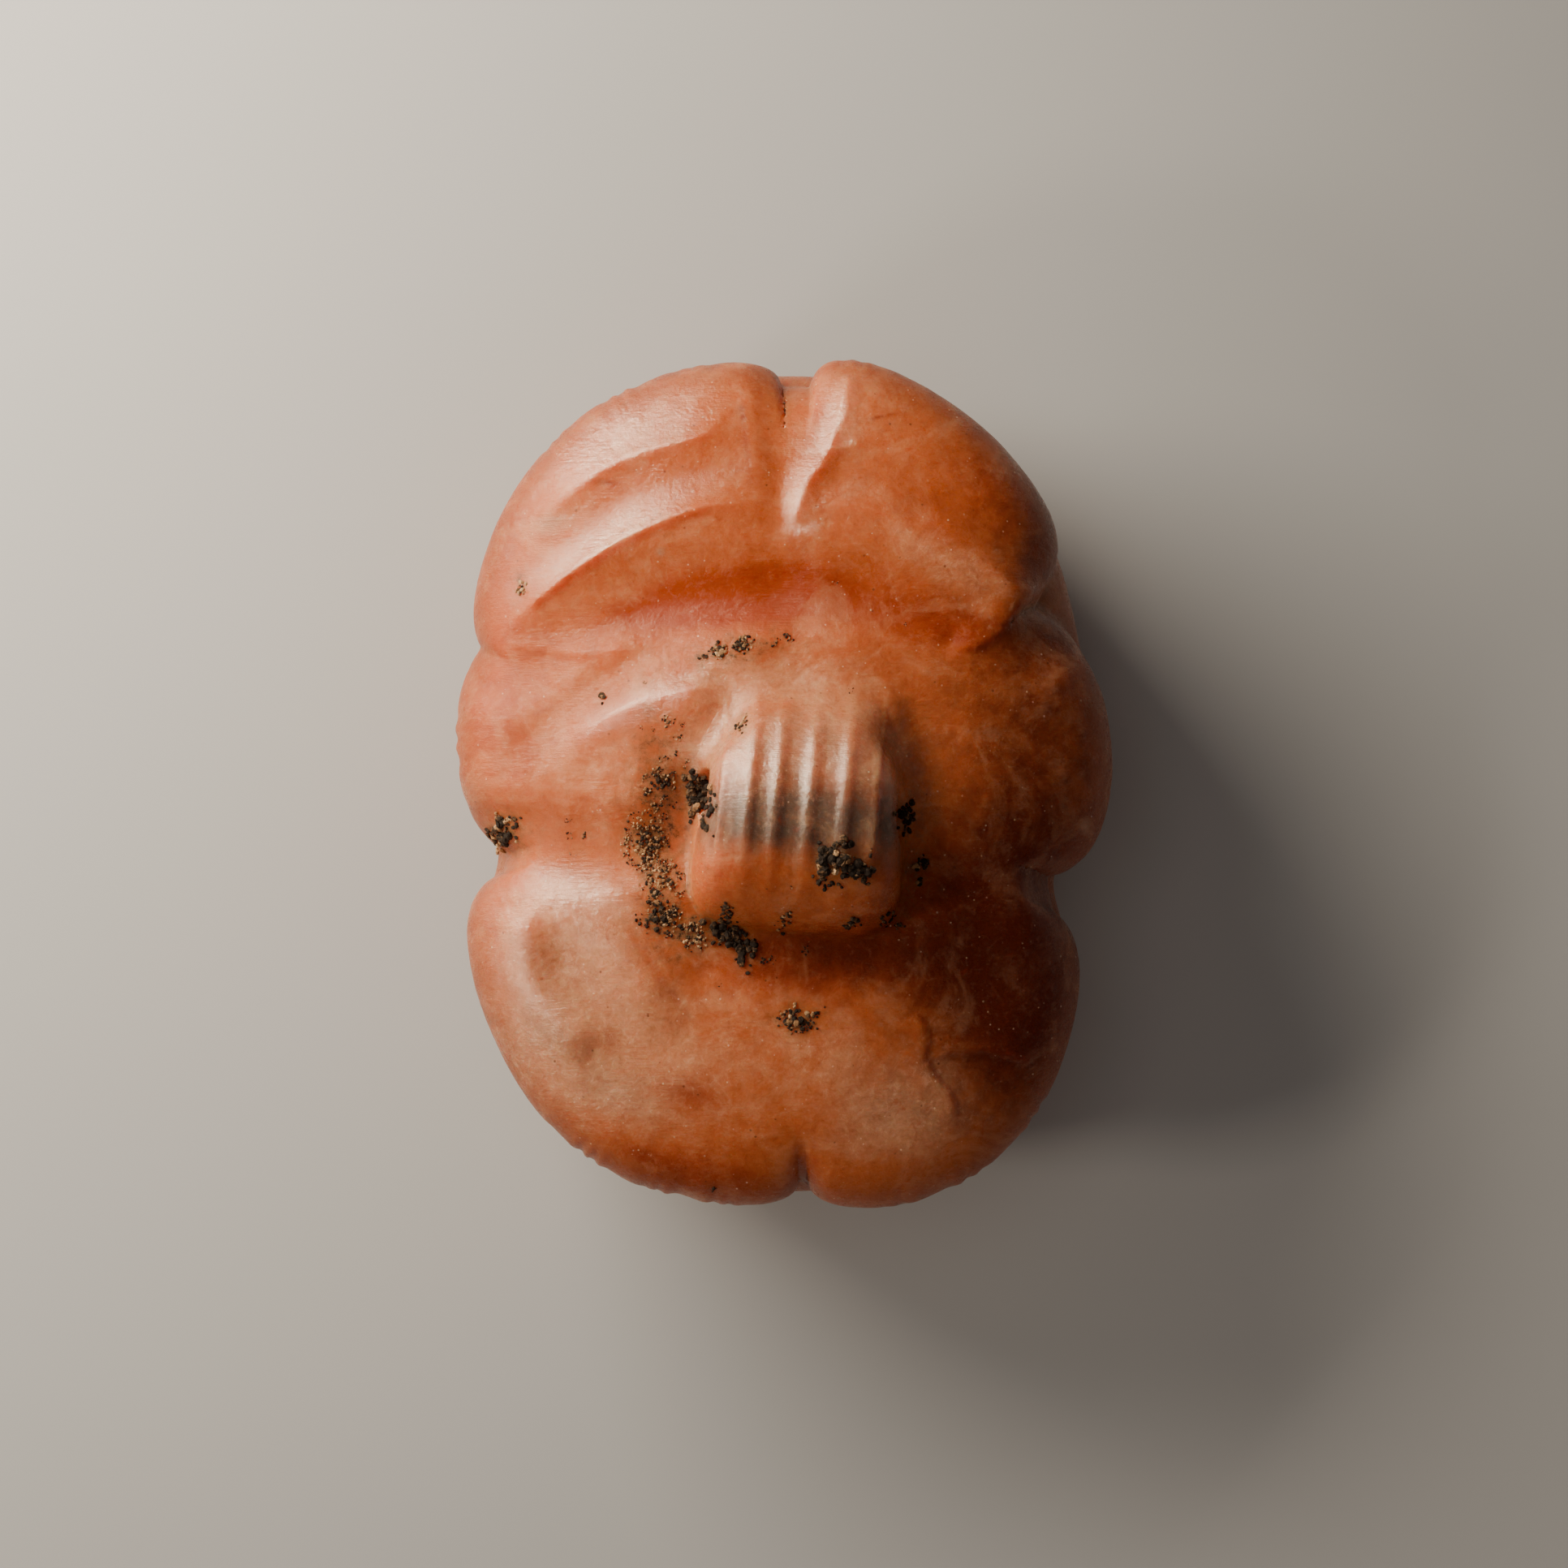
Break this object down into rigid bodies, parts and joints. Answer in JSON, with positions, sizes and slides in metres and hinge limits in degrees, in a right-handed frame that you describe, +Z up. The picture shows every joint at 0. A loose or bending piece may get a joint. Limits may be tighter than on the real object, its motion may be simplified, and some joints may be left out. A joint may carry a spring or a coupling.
{
  "type": "heart scarab",
  "caption": "Stone beetle amulet lying on its domed back, with folded legs carved over the belly and a ribbed, pierced loop for a cord.",
  "frame": {"origin": "under the middle of the carving, at the small flat spot of the back on which it rests", "axes": "+Z up, out of the belly; +Y towards the head; +X to the right as one looks down on the belly, along the cord's bore"},
  "size_m": [0.0262, 0.034, 0.016],
  "materials": {
    "carnelian": "satin polish, worn and lightly soiled"
  },
  "bodies": {
    "root": {"carved_stone": "carnelian"}
  },
  "joints": []
}
